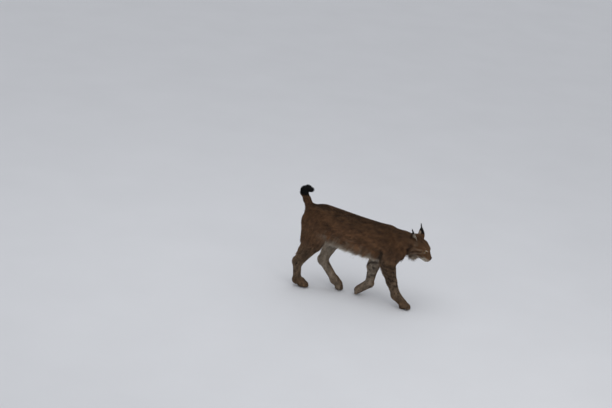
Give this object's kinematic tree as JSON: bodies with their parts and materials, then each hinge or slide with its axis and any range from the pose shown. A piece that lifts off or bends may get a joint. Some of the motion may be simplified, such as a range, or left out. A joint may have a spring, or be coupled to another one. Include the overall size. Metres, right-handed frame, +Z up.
{
  "type": "eurasian lynx, life-size model",
  "caption": "Still, life-size Eurasian lynx in mid-walk: head low, tufted ears, cheek ruff, long legs, furred paws and a short dark-tipped tail held up.",
  "frame": {"origin": "on the floor, under the middle of the animal's whole outline", "axes": "+X the way that the lynx walks, +Y towards its left side, +Z up"},
  "size_m": [1.0836, 0.2784, 0.8175],
  "materials": {
    "coat": "dense grey-brown to reddish-brown fur, darker along the back",
    "leg_coat": "shorter brown fur with small dark spots and bars, paler inside",
    "ear_coat": "short dark fur with a black tuft and pale hair in the cup",
    "nose_skin": "bare brown-pink skin, finely pebbled, slightly moist",
    "eye": "wet amber eye with a round dark pupil"
  },
  "bodies": {
    "root": {"torso": "coat", "neck": "coat", "head": "coat", "tail": "coat", "hindleg_right": "coat", "hindfoot_right": "leg_coat", "hindpaw_right": "leg_coat", "hindleg_left": "coat", "hindfoot_left": "leg_coat", "hindpaw_left": "leg_coat", "foreleg_right": "leg_coat", "forepaw_right": "leg_coat", "foreleg_left": "leg_coat", "forepaw_left": "leg_coat", "nose": "nose_skin", "ear_left": "ear_coat", "ear_right": "ear_coat", "eye_left": "eye", "eye_right": "eye"}
  },
  "joints": []
}
